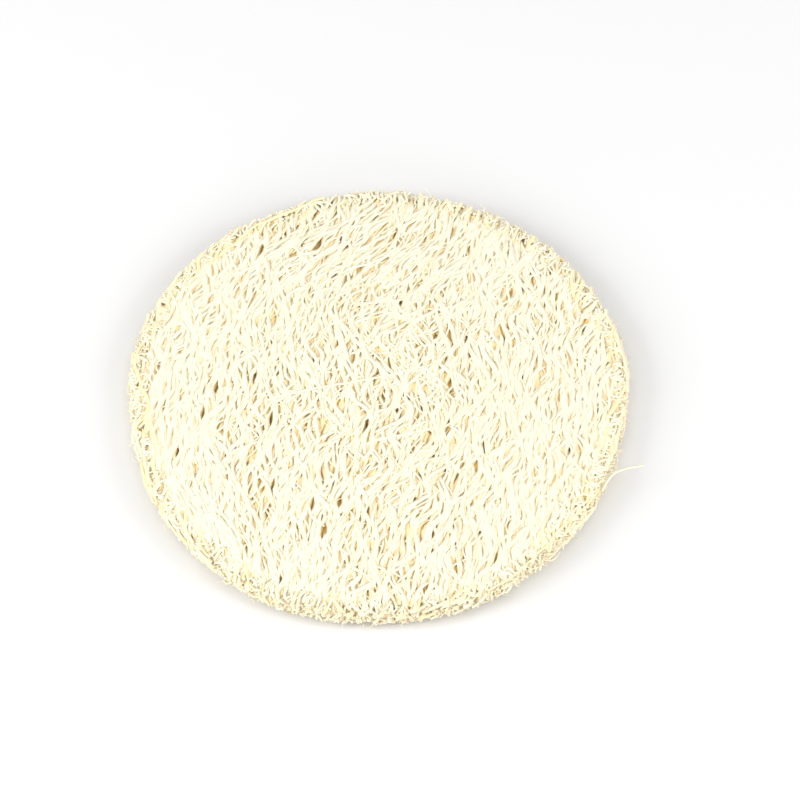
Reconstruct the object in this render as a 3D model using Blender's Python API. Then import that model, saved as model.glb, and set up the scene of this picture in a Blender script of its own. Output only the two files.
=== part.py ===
"""A natural loofah pad: one flat round, cut from the dried net of a ripe gourd and pressed.

The pad is one grown piece, so it is one closed solid. Its two faces carry the net itself, a
little larger than life: wavy strands that lie side by side, touch, and part again round
lens-shaped gaps, with other strands crossing over them. All round the rim the strands end
in a ragged cut. Everything is raised from the pad's own skin by formulas.

The pad lies on its underside. Its rim curls up a little, the middle is pressed flat, and four
crests near the rim reach the ground and carry it.
"""

import math
import random

import bmesh
import bpy
from mathutils import Matrix, Vector

# Driving dimensions, in metres
PAD_ACROSS = 0.0742
THICK_MIDDLE = 0.0052
THICK_RIM = 0.0037
DOME_SPREAD = 2.4
DOME_FALL = 0.7
EDGE_LIFT = 0.0005
EDGE_CURL = 8
RIM_ROUND = 0.0010
FLAT_SPOT_RADIUS = 0.0050

# The crests that the pad rests on: how far out, which way from +X, and how far the rest is raised
REST_DISTANCE = 0.029
REST_SEARCH = 0.003
REST_BEARINGS = (math.radians(38), math.radians(131), math.radians(217), math.radians(309))
REST_CLEARANCE = 0.00006

# The strands of the net: their size, how they swing and dip, and the gaps between them
STRAND_COUNT = 36
STRAND_WIDTH = 0.0015
STRAND_ROUND = 0.00028
SHOULDER_SHARE = 0.4
CROWDED_SHARE = 0.36
STRAND_SWING = 0.00062
SWING_LENGTH = 0.0150
CREST_WAVE = 0.00030
SHALLOW_GAP = 0.0005
TOP_GAP_DEPTH = 0.0019
UNDER_GAP_DEPTH = 0.0015
WIDE_GAP = 0.0013

# The strands that cross over the others
TOP_CROSSINGS = 13
UNDER_CROSSINGS = 7
CROSSING_RADII = (0.00048, 0.00064)
CROSSING_SPREAD = 0.80
CROSSING_RISES = (-0.0002, 0.0001)
CROSSING_DIVE = 0.0016
CROSSING_LENGTHS = (0.016, 0.030)
CROSSING_TURNS = (math.radians(16), math.radians(48))
CROSSING_BOW = 0.0018
CROSSING_STEPS = 9
CROSSING_REACH = 0.92
GOLDEN_TURN = math.pi * (3 - math.sqrt(5))
UNDER_CLEARANCE = 0.00006

# The rim: it starts at a share of the radius, and the cut ends stand out or lie back from it
RIM_START = 0.9
RIM_SWING = 0.25
RIM_HOLD = 6
RIM_RELIEF = 0.6
END_REACH = 0.0006
END_NOTCH = 0.0009
END_AT_FACE = 0.35
SIDE_GROOVE = 0.00045
SIDE_LAYERS = 2

# The grain runs away from the viewer, turned a little to the right
GRAIN_TURN = math.radians(-10)

# Places where the grain bends: across and along the grain, its size both ways, and its push
GRAIN_BENDS = (
    (-0.004, 0.025, 0.014, 0.009, 0.0054),
    (-0.004, 0.005, 0.010, 0.008, -0.0024),
    (0.015, 0.010, 0.009, 0.008, -0.0018),
    (-0.020, -0.027, 0.010, 0.008, -0.0040),
    (0.008, -0.014, 0.010, 0.009, 0.0016),
)

# How far the round strays from a circle: waves round the rim, share of the radius, and turn
OUTLINE_WAVES = (
    (2, 0.008, math.radians(20)),
    (3, 0.009, math.radians(25)),
    (5, 0.005, math.radians(15)),
    (9, 0.003, math.radians(50)),
)

# The mesh: lines for each strand, and rows along a face and down the rim
LINES_PER_STRAND = 4
FACE_ROWS = 92
RIM_ROWS = 8
TRIANGLE_SHARE = 0.127

MERGE_DISTANCE = 0.000001
SHARP_ANGLE = math.radians(70)

SEED = 11
PAD_RADIUS = PAD_ACROSS / 2
STRAND_PITCH = PAD_ACROSS / STRAND_COUNT
LOOFAH_COLOUR = (0.93, 0.85, 0.64, 1.0)
LOOFAH_ROUGHNESS = 0.75


def eased(value):
    """Goes from 0 to 1 with no corner at either end."""
    value = min(max(value, 0.0), 1.0)
    return value * value * (3 - 2 * value)


def blended(first, second, share):
    return first + (second - first) * share


def outline_radius(angle):
    """The pad's radius in a direction seen from above, measured from +X."""
    strays = sum(share * math.cos(waves * (angle - turn)) for waves, share, turn in OUTLINE_WAVES)
    return PAD_RADIUS * (1 + strays)


def bent_grain(across, along):
    """How far the bends of the grain push a point sideways."""
    shift = 0.0
    for at_across, at_along, wide, long, push in GRAIN_BENDS:
        bell = math.exp(-(((across - at_across) / wide) ** 2))
        shift += push * math.tanh((along - at_along) / long) * bell
    return shift


def top_skin(reach):
    """Height of the upper face over the ground, without its net, at a share of the radius."""
    dome = (1 - min(reach, 1.0) ** DOME_SPREAD) ** DOME_FALL
    return under_skin(reach) + blended(THICK_RIM, THICK_MIDDLE, dome)


def under_skin(reach):
    """Height of the underside over the ground: the rim curls up slightly."""
    return EDGE_LIFT * min(reach, 1.0) ** EDGE_CURL


class Strand:
    """One strand of a face: it swings from side to side and rises and dips along its way."""

    def __init__(self, number, draw):
        self.middle = (number + 0.5) * STRAND_PITCH - PAD_RADIUS
        self.swing = STRAND_SWING * draw.uniform(0.7, 1.15)
        self.length = SWING_LENGTH * draw.uniform(0.82, 1.2)
        self.start = math.pi * (number % 2) + draw.uniform(-0.8, 0.8)
        self.rise = CREST_WAVE * draw.uniform(0.3, 1.0)
        self.rise_length = SWING_LENGTH * draw.uniform(0.7, 1.4)
        self.rise_start = draw.uniform(0, math.tau)
        self.end_reach = [END_REACH * draw.uniform(-0.5, 1.0) for _ in range(2)]

    def across(self, along):
        turn = math.tau * along / self.length + self.start
        return self.middle + self.swing * math.sin(turn)

    def drop(self, along):
        """How far the crest lies under the skin."""
        turn = math.tau * along / self.rise_length + self.rise_start
        return self.rise * (1 - math.sin(turn))


class Crossing:
    """A strand that lies over the others at a slant, bowed a little, with its ends tucked in."""

    def __init__(self, number, count, on_top, draw):
        distance = CROSSING_SPREAD * PAD_RADIUS * math.sqrt((number + 0.5) / count)
        bearing = number * GOLDEN_TURN + draw.uniform(-0.4, 0.4)
        self.across = distance * math.cos(bearing)
        self.along = distance * math.sin(bearing)
        self.length = draw.uniform(*CROSSING_LENGTHS)
        self.turn = draw.uniform(*CROSSING_TURNS) * draw.choice((-1, 1))
        self.bow = CROSSING_BOW * draw.uniform(-1, 1)
        self.rise = draw.uniform(*CROSSING_RISES)
        self.radius = draw.uniform(*CROSSING_RADII)
        self.on_top = on_top

    def route(self):
        """Points along its middle line, over the ground."""
        points = []
        for step in range(CROSSING_STEPS + 1):
            share = 2 * step / CROSSING_STEPS - 1
            onward = share * self.length / 2
            sideways = self.bow * math.cos(share * math.pi / 2)
            across = self.across + onward * math.sin(self.turn) + sideways * math.cos(self.turn)
            along = self.along + onward * math.cos(self.turn) - sideways * math.sin(self.turn)
            angle = math.atan2(along, across) + GRAIN_TURN
            distance = math.hypot(across, along)
            reach = distance / outline_radius(angle)
            if reach > CROSSING_REACH:
                continue
            dive = CROSSING_DIVE * eased(abs(share) * 3 - 2)
            if self.on_top:
                height = top_skin(reach) + self.rise - dive
            else:
                height = under_skin(reach) + self.radius + UNDER_CLEARANCE + dive
            points.append((distance * math.cos(angle), distance * math.sin(angle), height))
        return points


class Net:
    """The strands of one face of the pad."""

    def __init__(self, seed, gap_depth):
        draw = random.Random(seed)
        self.strands = [Strand(number, draw) for number in range(STRAND_COUNT)]
        self.gap_depth = gap_depth

    def centre(self, number, along):
        """Where a strand's crest lies; past the last strand comes the pad's own edge."""
        if number < 0:
            return -PAD_RADIUS - STRAND_PITCH / 2
        if number >= STRAND_COUNT:
            return PAD_RADIUS + STRAND_PITCH / 2
        return self.strands[number].across(along)

    def line(self, column, along):
        """Where a line of the mesh lies across the grain, and its depth under the skin."""
        number, part = divmod(column, LINES_PER_STRAND)
        here = self.centre(number, along)
        if part == 0:
            before = self.centre(number - 1, along)
            opening = (here - before - STRAND_WIDTH) / WIDE_GAP
            return (before + here) / 2, blended(SHALLOW_GAP, self.gap_depth, eased(opening))
        drop = self.strands[number].drop(along)
        if part == 2:
            return here, drop
        side = part - 2
        beside = self.centre(number + side, along)
        shoulder = min(STRAND_WIDTH * SHOULDER_SHARE, abs(beside - here) * CROWDED_SHARE)
        return here + side * shoulder, drop + STRAND_ROUND


def pad_point(nets, column, row):
    """The place of one mesh point, from its line across the grain and its row round the pad."""
    columns = STRAND_COUNT * LINES_PER_STRAND
    on_top = row <= FACE_ROWS or row > 2 * FACE_ROWS + RIM_ROWS
    if row <= FACE_ROWS:
        share, down = 2 * row / FACE_ROWS - 1, 0.0
    elif row < FACE_ROWS + RIM_ROWS:
        share, down = 1.0, (row - FACE_ROWS) / RIM_ROWS
    elif row <= 2 * FACE_ROWS + RIM_ROWS:
        share, down = 1 - 2 * (row - FACE_ROWS - RIM_ROWS) / FACE_ROWS, 1.0
    else:
        share, down = -1.0, 1 - (row - 2 * FACE_ROWS - RIM_ROWS) / RIM_ROWS

    # The place on a plain round, in shares of the radius
    across = 2 * column / columns - 1
    along = share * math.sqrt(max(0.0, 1 - across * across))
    reach = math.hypot(across, along)
    inner = 1 - RIM_ROUND / PAD_RADIUS
    loose = 1 - reach ** RIM_HOLD

    # The strands push it sideways, less and less towards the rim
    net = nets[0] if on_top else nets[1]
    if 0 < column < columns:
        placed, drop = net.line(column, along * PAD_RADIUS)
    else:
        placed, drop = across * PAD_RADIUS, SHALLOW_GAP
    moved = (placed - across * PAD_RADIUS) * blended(RIM_SWING, 1.0, loose)
    moved += bent_grain(across * PAD_RADIUS, along * PAD_RADIUS) * loose
    across_now = across * inner + moved / PAD_RADIUS
    along_now = along * inner
    reach_now = math.hypot(across_now, along_now)

    # The rim is round, and its strands end unevenly
    if abs(share) == 1.0:
        number, part = divmod(min(column, columns - 1), LINES_PER_STRAND)
        bulge = math.sin(math.pi * down)
        ending = net.strands[number].end_reach[share > 0] if part else -END_NOTCH
        ending *= blended(END_AT_FACE, 1.0, bulge)
        groove = SIDE_GROOVE * (0.5 - 0.5 * math.cos(math.tau * SIDE_LAYERS * down))
        facing = abs(along)
        reach_now += (RIM_ROUND * bulge + ending * facing - groove * (1 - facing)) / PAD_RADIUS
    angle = math.atan2(along_now, across_now) + GRAIN_TURN
    radius = outline_radius(angle) * reach_now
    x, y = radius * math.cos(angle), radius * math.sin(angle)

    # Heights of both faces there, and the place between them down the rim
    drop *= blended(1.0, RIM_RELIEF, eased((reach_now - RIM_START) / (1 - RIM_START)))
    top = top_skin(reach_now) - drop
    under = max(under_skin(reach_now) + drop, 0.0)
    if down == 1.0 and radius < FLAT_SPOT_RADIUS:
        under = 0.0
    return x, y, blended(top, under, down)


def make_crossings(collection):
    """The crossing strands as closed tubes, in a collection of their own."""
    draw = random.Random(SEED)
    over = [Crossing(number, TOP_CROSSINGS, True, draw) for number in range(TOP_CROSSINGS)]
    below = [Crossing(number, UNDER_CROSSINGS, False, draw) for number in range(UNDER_CROSSINGS)]
    for crossing in over + below:
        points = crossing.route()
        guide = bpy.data.curves.new("crossing strand", "CURVE")
        guide.dimensions = "3D"
        guide.bevel_depth = crossing.radius
        guide.bevel_resolution = 1
        guide.use_fill_caps = True
        spline = guide.splines.new("POLY")
        spline.points.add(len(points) - 1)
        for place, point in zip(spline.points, points):
            place.co = (*point, 1.0)
        tube = bpy.data.objects.new("crossing strand", guide)
        collection.objects.link(tube)
        mesh = made_mesh(tube)
        bpy.data.objects.remove(tube)
        shape = bmesh.new()
        shape.from_mesh(mesh)
        bmesh.ops.remove_doubles(shape, verts=shape.verts, dist=MERGE_DISTANCE)
        shape.to_mesh(mesh)
        shape.free()
        collection.objects.link(bpy.data.objects.new("crossing strand", mesh))


def made_mesh(source):
    """A plain mesh of an object with its modifiers applied."""
    graph = bpy.context.evaluated_depsgraph_get()
    return bpy.data.meshes.new_from_object(source.evaluated_get(graph), depsgraph=graph)


def make_net(collection):
    """The two faces of the pad: a sphere with its poles across the grain, laid out as the net."""
    columns = STRAND_COUNT * LINES_PER_STRAND
    rows = 2 * (FACE_ROWS + RIM_ROWS)
    nets = (Net(SEED, TOP_GAP_DEPTH), Net(SEED + 1, UNDER_GAP_DEPTH))
    net = bmesh.new()
    bmesh.ops.create_uvsphere(net, u_segments=rows, v_segments=columns, radius=1)
    for vertex in net.verts:
        column = round(math.acos(-min(max(vertex.co.z, -1), 1)) / math.pi * columns)
        turn = math.atan2(vertex.co.y, vertex.co.x) % math.tau
        row = round(turn / math.tau * rows) % rows
        if column in (0, columns):
            row = FACE_ROWS // 2
            top = pad_point(nets, column, row)
            under = pad_point(nets, column, rows // 2 + row)
            vertex.co = [(a + b) / 2 for a, b in zip(top, under)]
        else:
            vertex.co = pad_point(nets, column, row)
    if net.calc_volume(signed=True) < 0:
        bmesh.ops.reverse_faces(net, faces=net.faces)
    mesh = bpy.data.meshes.new("net")
    net.to_mesh(mesh)
    net.free()
    pad = bpy.data.objects.new("net", mesh)
    collection.objects.link(pad)
    fewer = pad.modifiers.new("Fewer faces", "DECIMATE")
    fewer.decimate_type = "COLLAPSE"
    fewer.ratio = TRIANGLE_SHARE
    fewer.use_collapse_triangulate = True
    return pad


def make_pad(collection):
    """The whole pad: its crossing strands are joined into the net."""
    crossings = bpy.data.collections.new("Crossing strands")
    collection.children.link(crossings)
    make_crossings(crossings)
    net = make_net(collection)
    join = net.modifiers.new("Join the crossings", "BOOLEAN")
    join.operation = "UNION"
    join.operand_type = "COLLECTION"
    join.collection = crossings
    join.solver = "EXACT"
    mesh = made_mesh(net)
    for spent in [net, *crossings.objects]:
        bpy.data.objects.remove(spent)
    bpy.data.collections.remove(crossings)
    mesh.name = "loofah_pad"
    stand_at_origin(mesh)
    rest_on_crests(mesh)
    mesh.shade_smooth()
    mesh.set_sharp_from_angle(angle=SHARP_ANGLE)
    mesh.materials.clear()
    mesh.materials.append(loofah_material())
    collection.objects.link(bpy.data.objects.new("loofah_pad", mesh))


def stand_at_origin(mesh):
    """Puts the middle of the pad's box over the origin, with its underside just clear."""
    lows = [min(vertex.co[axis] for vertex in mesh.vertices) for axis in range(2)]
    highs = [max(vertex.co[axis] for vertex in mesh.vertices) for axis in range(2)]
    middle = [-(low + high) / 2 for low, high in zip(lows, highs)]
    mesh.transform(Matrix.Translation((*middle, REST_CLEARANCE)))


def rest_on_crests(mesh):
    """Presses the underside flat, and brings the lowest crest near each resting place to the ground."""
    for vertex in mesh.vertices:
        vertex.co.z = max(vertex.co.z, REST_CLEARANCE)
    for bearing in REST_BEARINGS:
        place = Vector((math.cos(bearing), math.sin(bearing))) * REST_DISTANCE
        near = [v for v in mesh.vertices if (v.co.xy - place).length < REST_SEARCH]
        min(near, key=lambda vertex: vertex.co.z).co.z = 0.0


def loofah_material():
    """Dry, pale, cream-coloured plant fibre."""
    material = bpy.data.materials.new("loofah fibre")
    material.use_nodes = True
    shader = material.node_tree.nodes["Principled BSDF"]
    shader.inputs["Base Color"].default_value = LOOFAH_COLOUR
    shader.inputs["Roughness"].default_value = LOOFAH_ROUGHNESS
    shader.inputs["Metallic"].default_value = 0.0
    return material


def main():
    for leftover in list(bpy.data.objects):
        bpy.data.objects.remove(leftover)
    collection = bpy.data.collections.new("Natural loofah pad")
    bpy.context.scene.collection.children.link(collection)
    make_pad(collection)


main()
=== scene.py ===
"""Dresses the natural loofah pad: its net of strands, its ragged rim, and the table it lies on."""

import math

import bpy
import numpy as np
from bpy.props import FloatProperty, FloatVectorProperty, IntProperty, PointerProperty
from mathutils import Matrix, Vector


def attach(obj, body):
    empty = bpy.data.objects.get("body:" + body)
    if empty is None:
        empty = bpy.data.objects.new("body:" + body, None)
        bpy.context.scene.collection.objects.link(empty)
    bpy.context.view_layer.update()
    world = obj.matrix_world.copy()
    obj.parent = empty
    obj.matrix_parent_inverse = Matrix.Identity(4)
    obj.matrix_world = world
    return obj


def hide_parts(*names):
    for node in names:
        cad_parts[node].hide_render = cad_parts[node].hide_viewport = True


bl_info = {
    "name": "Natural loofah pad",
    "version": (1, 0, 0),
    "blender": (4, 5, 0),
    "location": "3D View > Sidebar > Loofah",
    "description": "Lays the strands of a pressed loofah pad and sets it on a pale table",
    "category": "Object",
}

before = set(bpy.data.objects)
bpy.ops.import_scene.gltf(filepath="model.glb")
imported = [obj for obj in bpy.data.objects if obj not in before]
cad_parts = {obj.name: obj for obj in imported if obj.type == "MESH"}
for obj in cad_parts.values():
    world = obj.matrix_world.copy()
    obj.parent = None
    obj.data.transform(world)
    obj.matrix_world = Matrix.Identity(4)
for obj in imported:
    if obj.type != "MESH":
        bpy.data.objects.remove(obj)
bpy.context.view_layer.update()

BODY = "root"
NODE = "loofah_pad"

# The pad's form in metres, with the same values as its solid
PAD_RADIUS = 0.0371
THICK_MIDDLE = 0.0052
THICK_RIM = 0.0037
DOME_SPREAD = 2.4
DOME_FALL = 0.7
EDGE_LIFT = 0.0005
EDGE_CURL = 8
RIM_ROUND = 0.0010
REST_CLEARANCE = 0.00006
GRAIN_TURN = math.radians(-10)
METRES_TO_MM = 1000.0

# Places where the grain bends: across and along the grain, its size both ways, and its push
GRAIN_BENDS = (
    (-0.004, 0.025, 0.014, 0.009, 0.0054),
    (-0.004, 0.005, 0.010, 0.008, -0.0024),
    (0.015, 0.010, 0.009, 0.008, -0.0018),
    (-0.020, -0.027, 0.010, 0.008, -0.0040),
    (0.008, -0.014, 0.010, 0.009, 0.0016),
)

# How far the round strays from a circle: waves round the rim, share of the radius, and turn
OUTLINE_WAVES = (
    (2, 0.008, math.radians(20)),
    (3, 0.009, math.radians(25)),
    (5, 0.005, math.radians(15)),
    (9, 0.003, math.radians(50)),
)

# How open the net is: its usual share, and the places where it differs, each given as
# across and along the grain, its size, and the change
GAP_BASE = 0.66
GAP_PLACES = (
    (-0.008, -0.013, 0.007, 0.95),
    (-0.027, 0.000, 0.010, 0.45),
    (-0.022, 0.014, 0.008, 0.25),
    (-0.014, 0.030, 0.008, 0.20),
    (0.004, 0.010, 0.008, 0.20),
    (-0.006, -0.027, 0.008, 0.25),
    (0.026, 0.000, 0.014, -0.40),
    (0.018, -0.022, 0.010, -0.30),
    (0.002, 0.036, 0.012, -0.35),
)

# The largest openings of the upper face: x, y, half width and half length
OPENINGS = (
    (-0.0082, -0.0236, 0.00085, 0.0015),
    (-0.0059, -0.0188, 0.00080, 0.0014),
    (-0.0100, -0.0192, 0.00065, 0.0014),
    (-0.0250, 0.0011, 0.00065, 0.0015),
    (-0.0268, -0.0032, 0.00065, 0.0013),
    (-0.0164, -0.0045, 0.00065, 0.0016),
    (-0.0213, -0.0071, 0.00060, 0.0012),
    (-0.0190, 0.0032, 0.00060, 0.0013),
    (-0.0160, -0.0158, 0.00060, 0.0013),
    (-0.0306, -0.0097, 0.00060, 0.0013),
    (0.0135, 0.0101, 0.00065, 0.0014),
    (0.0162, -0.0089, 0.00060, 0.0014),
    (0.0109, 0.0019, 0.00060, 0.0013),
    (-0.0018, -0.0054, 0.00050, 0.0014),
    (-0.0093, 0.0274, 0.00060, 0.0012),
    (0.0027, 0.0296, 0.00050, 0.0012),
    (-0.0183, 0.0266, 0.00060, 0.0012),
    (-0.0145, -0.0313, 0.00060, 0.0012),
    (0.0177, -0.0279, 0.00050, 0.0012),
    (-0.0003, -0.0331, 0.00050, 0.0012),
)

# The smaller openings scattered between them, and how sharply strands part at any of them
MORE_OPENINGS = 110
OPENING_HALF_WIDTHS = (0.00018, 0.00045)
OPENING_SLIMNESS = (1.8, 3.2)
OPENING_SPREAD = 0.9
OPENING_CHOICE = 1.2
OPENING_EDGE = 0.00010
OPENING_MARGIN_ACROSS = 3
OPENING_MARGIN_ALONG = 2
STEEPEST_PUSH = 20

# Places where strands fan out across the grain: across, along, size, turn, and how many
FANS = (
    (-0.022, -0.025, 0.008, math.radians(48), 70),
    (-0.003, -0.031, 0.006, math.radians(20), 40),
    (0.004, 0.012, 0.007, math.radians(-38), 40),
    (0.014, 0.026, 0.007, math.radians(-30), 30),
)

# Strands are laid a little past the rim and cut near it. From these shares of the radius on they
# are pressed together, curl over the rim by a share of its height, lean outwards and poke out
STRAND_SPAN = 1.05
CUT_REACH = (0.990, 1.035)
FEWEST_POINTS = 4
SQUEEZE_START = 0.97
CURL_START = 0.94
UPPER_CURLS = (0.10, 0.60)
UNDER_CURLS = (0.02, 0.25)
MAT_CURLS = (0.0, 0.08)
LEAN_START = 0.92
FACE_LEAN = 2.0
INSIDE_LEAN = 0.3
POKE_START = 0.98
RIM_POKE = (-0.0002, 0.0004)

# How the strands of a mat stray from even rows, and how their girth ripples: shares of the
# pitch, of the layer's wobble, of the girth and of the wobble's pace
ROW_SHAKE = 0.35
RUN_SHAKE = 0.3
WOBBLE_SHARES = (0.5, 1.4)
GIRTH_RIPPLE = 0.18
RIPPLE_PACE = 1.3

# Strands that slant over the rest, spread like the seeds of a sunflower
GOLDEN_TURN = math.pi * (3 - math.sqrt(5))
BEARING_SHAKE = 0.3
FAN_SPREAD = math.radians(12)

# The strands that run round inside the rim, and the cut stubs that point out of it
HOOP_POINTS = 121
HOOP_SWAY = 0.004
HOOP_SWAYS = (20, 40)
HOOP_RISE = 0.00012
HOOP_RISES = (15, 30)
HOOP_LEVELS = (0.03, 0.74)
STUB_TURN = math.radians(75)
STUB_RISE = 0.0004
STUB_TIP_GIRTH = 0.75

# One long strand that lies across the others on the upper face: its middle line and height
LONG_STRAND = (
    (-0.0170, -0.0012, 0.00470),
    (-0.0110, 0.0012, 0.00502),
    (-0.0030, 0.0014, 0.00508),
    (0.0070, 0.0048, 0.00490),
)

# The one long strand that has come loose at the rim on the right
LOOSE_STRAND = (
    (0.0330, -0.0160, 0.0037),
    (0.0345, -0.0120, 0.0040),
    (0.0370, -0.0126, 0.0043),
    (0.0391, -0.0119, 0.0042),
)

# How strands sway: lengths of the waves across and along the grain, and how far they push,
# rise and sink, or turn
GAP_SWAY = ((0.0012, 0.0026), (0.0045, 0.0095), 0.00020)
BEND_SWAY = ((0.006, 0.016), (0.008, 0.020), 0.00035)
OWN_SWAY = ((0.0012, 0.0026), (0.0040, 0.0090), 0.00024)
WEAVE_SWAY = ((0.0010, 0.0025), (0.0030, 0.0070), 0.00006)
SWING_LENGTHS = ((0.004, 0.010), (0.005, 0.012))
SWINGS = (math.radians(10), math.radians(14))

# The layers of the inner mats, from the face inwards: depth, pitch, girths, where the strands
# are cut at the rim, and how far the openings part them
MAT_LAYERS = (
    (0.00032, 0.00043, (0.9, 1.3), (0.985, 1.005), 1.3),
    (0.00056, 0.00043, (0.9, 1.3), (0.965, 0.985), 0.9),
    (0.00095, 0.00062, (1.8, 2.2), (0.93, 0.95), 0.0),
)

# The pitch of a face's second layer, as a share of the first one's
SECOND_PITCH = 1.1

# Heights of the layers of cut strands in the rim, as shares of its thickness
RIM_LEVELS = (0.03, 0.22, 0.41, 0.60, 0.79)

# Each group of pieces has its own random draws
UPPER_FACE, UNDER_FACE, UPPER_MAT, UNDER_MAT, RIM = range(1, 6)
UPPER_CROSSINGS, UNDER_CROSSINGS, STUBS, HAIRS = range(6, 10)
LAYING = 1
SEEDS_A_GROUP = 10

# The look of the fibre: streaks along each strand, broad patches, what makes it warmer, where
# painted shade starts on a strand's lower side, and gloss
STREAKS_AROUND = 2.2
STREAKS_PER_METRE = 260.0
STREAK_SHIFT = 40.0
STREAK_DETAIL = 3
PATCHES_PER_METRE = 90
PATCH_DETAIL = 2
WARMTH_OF_TONE = 0.22
WARMTH_OF_STREAKS = 0.75
WARMTH_OF_PATCHES = 0.5
WARMTH_START = 0.45
UNDERSIDE_SHADE_START = 0.45
SMOOTHEST = 0.48
ROUGHER_BY = 0.25
STREAK_BUMP = 0.4
STREAK_HEIGHT = 0.00006
FIBRE_GLOSS = 0.3

# A swept strand: its fine wander off its guide line in x, y and z, and its sides' corners
WANDER_SHARES = (1.0, 1.0, 0.2)
SIDE_CORNERS = 4

# Sockets that share their names with others, by number: colours on the Mix node, and whole
# numbers on the Compare node
MIX_FIRST, MIX_SECOND, MIX_RESULT = 6, 7, 2
COMPARE_FIRST, COMPARE_SECOND = 2, 3

# The stage, and its softboxes: name, place, width and height, which power, and its share
TABLE_HALF = 1.2
TABLE_ROUGHNESS = 0.9
TABLE_GLOSS = 0.1
SOFTBOXES = (
    ("left_softbox", (-0.52, -0.12, 0.32), (0.30, 0.40), "side_power", 1.25),
    ("right_softbox", (0.54, -0.14, 0.34), (0.30, 0.40), "side_power", 1.0),
    ("front_softbox", (0.00, -0.62, 0.22), (0.50, 0.25), "front_power", 1.0),
    ("overhead_softbox", (0.00, -0.12, 0.76), (0.85, 0.85), "overhead_power", 1.0),
)
CAMERA_LENS_MM = 200
CAMERA_SENSOR_MM = 36
LOOK_AT = (0.0032, 0.0000, 0.003)


def outline_radius(angle):
    """The pad's radius in a direction seen from above."""
    strays = sum(share * np.cos(waves * (angle - turn)) for waves, share, turn in OUTLINE_WAVES)
    return PAD_RADIUS * (1 + strays)


def outline_middle():
    """The middle of the outline's box, which stands over the origin."""
    angles = np.linspace(0, math.tau, 720)
    radii = outline_radius(angles)
    x, y = radii * np.cos(angles), radii * np.sin(angles)
    return (x.min() + x.max()) / 2, (y.min() + y.max()) / 2


OUTLINE_MIDDLE = outline_middle()


def on_pad(turn, distance):
    """x and y of a place given by its direction and distance from the outline's own middle."""
    return distance * np.cos(turn) - OUTLINE_MIDDLE[0], distance * np.sin(turn) - OUTLINE_MIDDLE[1]


def eased(value):
    """Goes from 0 to 1 with no corner at either end."""
    value = np.clip(value, 0, 1)
    return value * value * (3 - 2 * value)


def bent_grain(across, along):
    """How far the bends of the grain push a point sideways."""
    shift = np.zeros_like(across)
    for at_across, at_along, wide, long, push in GRAIN_BENDS:
        bell = np.exp(-(((across - at_across) / wide) ** 2))
        shift += push * np.tanh((along - at_along) / long) * bell
    return shift


def in_grain(x, y):
    """A place on the pad, as its place across and along the grain."""
    x, y = x + OUTLINE_MIDDLE[0], y + OUTLINE_MIDDLE[1]
    turn = -GRAIN_TURN
    return x * math.cos(turn) - y * math.sin(turn), x * math.sin(turn) + y * math.cos(turn)


def known_openings():
    """The largest openings, placed across and along the grain."""
    return [(*in_grain(x, y), wide, long) for x, y, wide, long in OPENINGS]


def scattered_openings(draw):
    """Smaller openings, scattered where the net is more open."""
    found = []
    while len(found) < MORE_OPENINGS:
        distance = PAD_RADIUS * math.sqrt(draw.uniform(0, OPENING_SPREAD))
        bearing = draw.uniform(0, math.tau)
        across, along = distance * math.cos(bearing), distance * math.sin(bearing)
        share = openness(np.array([across]), np.array([along]))[0]
        if draw.uniform(0, OPENING_CHOICE) < share:
            wide = draw.uniform(*OPENING_HALF_WIDTHS)
            found.append((across, along, wide, wide * draw.uniform(*OPENING_SLIMNESS)))
    return found


def parted(across, along, openings, share):
    """Moves a strand aside wherever it meets an opening, all of it to the same side."""
    openings = np.array(openings)
    at_across, at_along, wide, long = openings.T
    ahead = OPENING_MARGIN_ALONG * long
    beside = OPENING_MARGIN_ACROSS * wide
    met = (at_along > along.min() - ahead) & (at_along < along.max() + ahead)
    met &= (at_across > across.min() - beside) & (at_across < across.max() + beside)
    for place, middle, half, reach in openings[met]:
        onward = along - middle
        side = 1 if across[np.argmin(np.abs(onward))] > place else -1
        room = share * half * np.exp(-((onward / reach) ** 2))
        push = (room - side * (across - place)) / OPENING_EDGE
        moved = OPENING_EDGE * np.log1p(np.exp(np.clip(push, -STEEPEST_PUSH, STEEPEST_PUSH)))
        fade = np.exp(-((onward / (OPENING_MARGIN_ALONG * reach)) ** 4))
        across = across + side * fade * moved
    return across


def openness(across, along):
    """How open the net is at a place, as a share of its usual gaps."""
    share = np.full_like(across, GAP_BASE)
    for at_across, at_along, size, change in GAP_PLACES:
        share += change * np.exp(-((across - at_across) ** 2 + (along - at_along) ** 2) / size**2)
    return share


def under_skin(reach):
    """Height of the underside, at a share of the way from the middle to the rim."""
    return REST_CLEARANCE + EDGE_LIFT * np.minimum(reach, 1.0) ** EDGE_CURL


def top_skin(reach):
    """Height of the upper face, at a share of the way from the middle to the rim."""
    dome = (1 - np.minimum(reach, 1.0) ** DOME_SPREAD) ** DOME_FALL
    return under_skin(reach) + THICK_RIM + (THICK_MIDDLE - THICK_RIM) * dome


def squeezed(reach):
    """Strands that would leave the round are pressed together inside its rim."""
    room = 1 - SQUEEZE_START
    over = np.maximum(reach - SQUEEZE_START, 0)
    return np.minimum(reach, SQUEEZE_START) + room * np.tanh(over / room)


class Drift:
    """Smooth seeded sway over the pad: a sum of waves of set lengths across and along the grain."""

    WAVES = 18

    def __init__(self, draw, across_lengths, along_lengths, size):
        ways = draw.choice((-1, 1), self.WAVES)
        self.across_turns = ways * math.tau / draw.uniform(*across_lengths, self.WAVES)
        self.along_turns = math.tau / draw.uniform(*along_lengths, self.WAVES)
        self.starts = draw.uniform(0, math.tau, self.WAVES)
        self.size = size * math.sqrt(2 / self.WAVES)

    def __call__(self, across, along):
        turns = np.outer(across, self.across_turns) + np.outer(along, self.along_turns)
        return self.size * np.cos(turns + self.starts).sum(axis=1)


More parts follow.
